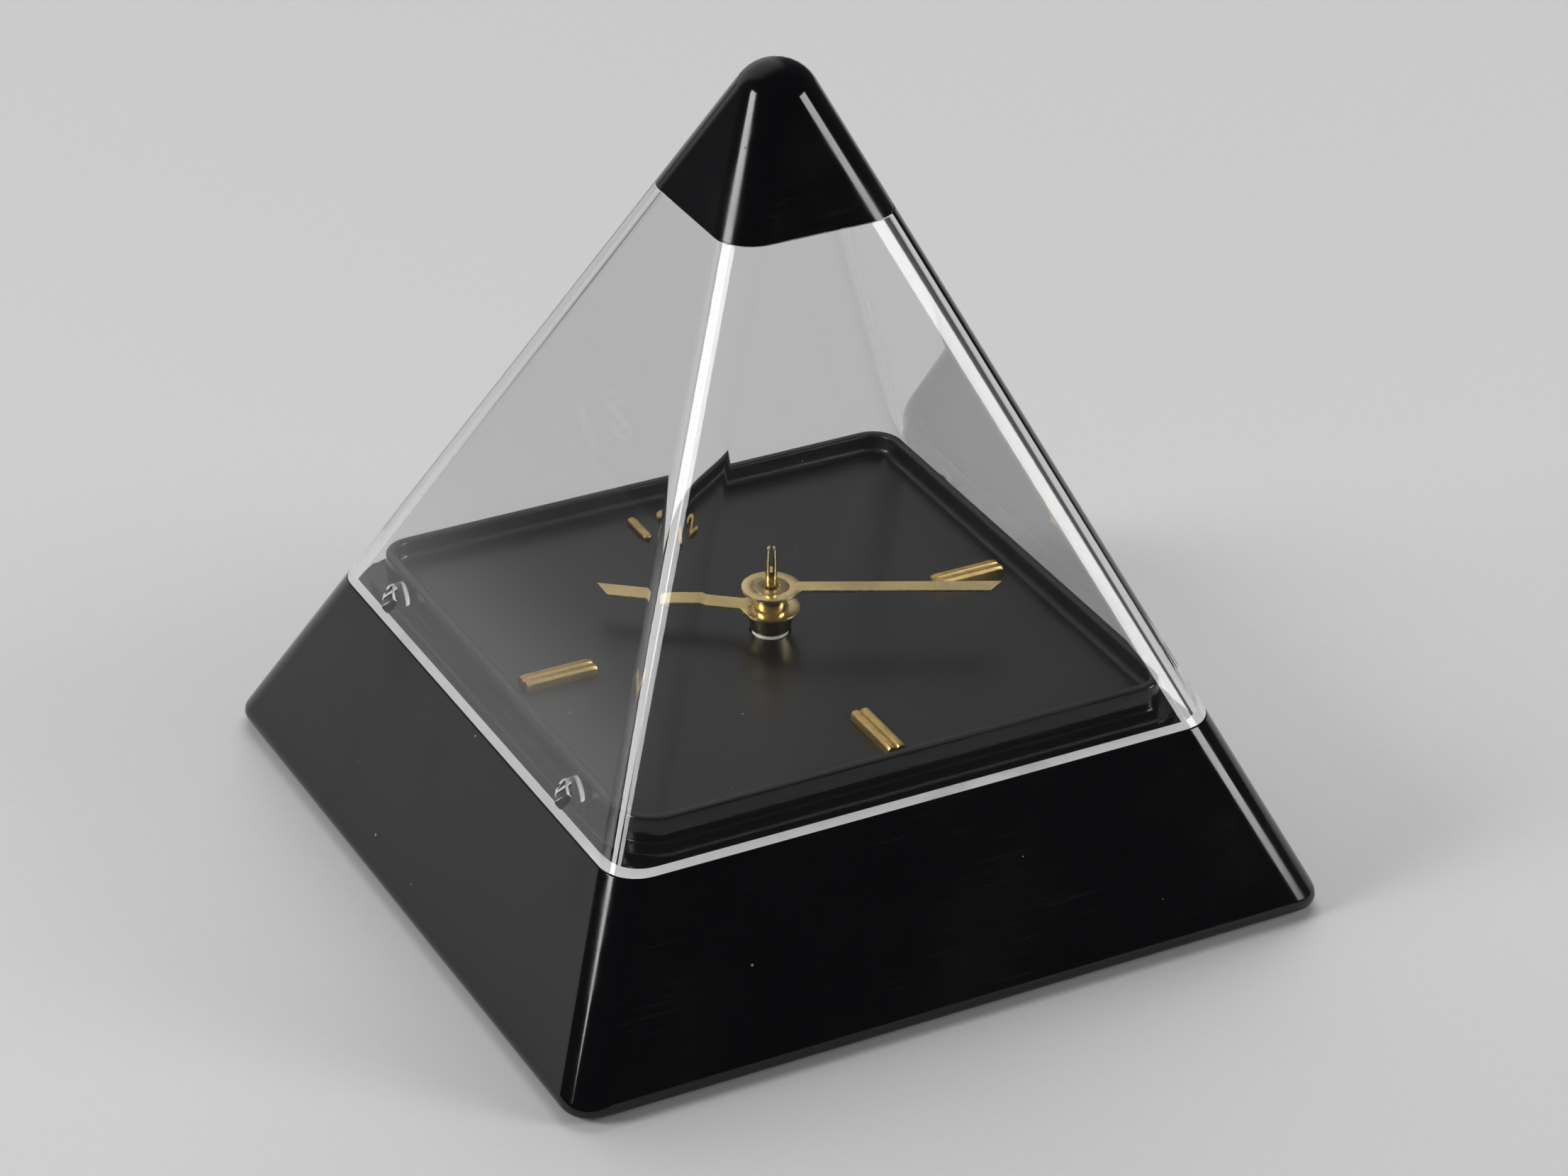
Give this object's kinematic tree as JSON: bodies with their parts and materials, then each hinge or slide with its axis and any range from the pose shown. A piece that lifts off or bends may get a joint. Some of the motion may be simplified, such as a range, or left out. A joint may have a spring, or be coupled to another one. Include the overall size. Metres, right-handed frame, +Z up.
{
  "type": "pyramid desk clock",
  "caption": "Free-standing quartz desk clock: black pyramid base and cap with a clear hollow cover over a square black dial with gilt batons and hands.",
  "frame": {"origin": "centre of the square on which the four feet stand", "axes": "+Z up along the hands' arbor to the tip, +Y towards 12 o'clock, +X towards 3 o'clock"},
  "size_m": [0.112, 0.112, 0.1129],
  "materials": {
    "shell_black": "gloss black moulded styrene, polished",
    "cover_clear": "clear moulded acrylic, polished, bright rounded edges",
    "dial_black": "satin black moulded plastic with gloss outer wall",
    "gilt_marker": "brushed gilt brass",
    "gilt_hand": "fine brushed pale gilt brass",
    "turned_brass": "polished turned brass",
    "gear_plastic": "natural acetal",
    "movement_black": "fine-textured black plastic",
    "movement_white": "fine-textured off-white plastic",
    "magnet_grey": "sintered ferrite magnet",
    "stator_steel": "stamped soft iron sheet",
    "bobbin_green": "moulded nylon",
    "copper_wire": "enamelled copper wire, wound",
    "board_green": "solder-masked circuit board",
    "chip_black": "epoxy blob",
    "plated_steel": "nickel-plated steel",
    "cell_case": null,
    "foot_rubber": "soft black rubber"
  },
  "bodies": {
    "case": {"base_shell": "shell_black", "clear_cover": "cover_clear", "apex_cap": "shell_black", "dial_tray": "dial_black", "baton_3": "gilt_marker", "baton_6": "gilt_marker", "baton_9": "gilt_marker", "figure_one": "gilt_marker", "figure_two": "gilt_marker", "movement_case": "movement_black", "movement_back": "movement_white", "gear_plate": "gear_plastic", "stator": "stator_steel", "coil_core": "stator_steel", "coil_bobbin": "bobbin_green", "coil_winding": "copper_wire", "circuit_board": "board_green", "clock_chip": "chip_black", "quartz_crystal": "plated_steel", "positive_contact": "plated_steel", "negative_contact": "plated_steel", "battery": "cell_case", "movement_screws": "plated_steel", "bottom_cover": "movement_black", "feet": "foot_rubber", "base_screws": "plated_steel"},
    "minute_work": {"minute_hand": "gilt_hand", "minute_hand_bush": "turned_brass", "cannon_pinion": "turned_brass"},
    "hour_work": {"hour_hand": "gilt_hand", "hour_hand_bush": "turned_brass", "hour_wheel": "gear_plastic"},
    "motion_work": {"motion_wheel": "gear_plastic"},
    "setting_work": {"setting_arbor": "gear_plastic", "setting_knob": "movement_white"},
    "seconds_work": {"seconds_arbor": "turned_brass", "seconds_wheel": "gear_plastic"},
    "centre_work": {"centre_wheel": "gear_plastic"},
    "third_work": {"third_wheel": "gear_plastic"},
    "intermediate_work": {"intermediate_wheel": "gear_plastic"},
    "rotor_work": {"rotor_magnet": "magnet_grey", "rotor_pinion": "gear_plastic"},
    "door": {"battery_door": "movement_black"}
  },
  "joints": [
    {"name": "minute_turn", "type": "hinge", "parent": "case", "child": "minute_work", "pos_m": [0, 0, 0.03], "axis": [0, 0, -1], "continuous": true},
    {"name": "hour_turn", "type": "hinge", "parent": "case", "child": "hour_work", "pos_m": [0, 0, 0.03], "axis": [0, 0, -1], "continuous": true},
    {"name": "motion_turn", "type": "hinge", "parent": "case", "child": "motion_work", "pos_m": [-0.00677, 0.00246, 0.02], "axis": [0, 0, -1], "continuous": true},
    {"name": "setting_turn", "type": "hinge", "parent": "case", "child": "setting_work", "pos_m": [-0.01353, 0.00493, 0.02], "axis": [0, 0, -1], "continuous": true},
    {"name": "rotor_turn", "type": "hinge", "parent": "case", "child": "rotor_work", "pos_m": [0, 0.01383, 0.02], "axis": [0, 0, -1], "continuous": true},
    {"name": "intermediate_turn", "type": "hinge", "parent": "case", "child": "intermediate_work", "pos_m": [0, 0.00735, 0.02], "axis": [0, 0, -1], "continuous": true},
    {"name": "seconds_turn", "type": "hinge", "parent": "case", "child": "seconds_work", "pos_m": [0, 0, 0.02], "axis": [0, 0, -1], "continuous": true},
    {"name": "third_turn", "type": "hinge", "parent": "case", "child": "third_work", "pos_m": [0.00677, 0.00246, 0.02], "axis": [0, 0, -1], "continuous": true},
    {"name": "centre_turn", "type": "hinge", "parent": "case", "child": "centre_work", "pos_m": [0, 0, 0.02], "axis": [0, 0, -1], "continuous": true},
    {"name": "door_hinge", "type": "hinge", "parent": "case", "child": "door", "pos_m": [0, -0.01105, 0.0018], "axis": [1, 0, 0], "range_deg": [0, 90]}
  ],
  "couplings": [
    {"joint": "hour_turn", "follows": "minute_turn", "ratio": 0.083333},
    {"joint": "motion_turn", "follows": "minute_turn", "ratio": -0.33333},
    {"joint": "setting_turn", "follows": "minute_turn", "ratio": 1},
    {"joint": "intermediate_turn", "follows": "rotor_turn", "ratio": -0.2},
    {"joint": "seconds_turn", "follows": "rotor_turn", "ratio": 0.033333},
    {"joint": "third_turn", "follows": "rotor_turn", "ratio": -0.0041667},
    {"joint": "centre_turn", "follows": "rotor_turn", "ratio": 0.00055556}
  ]
}
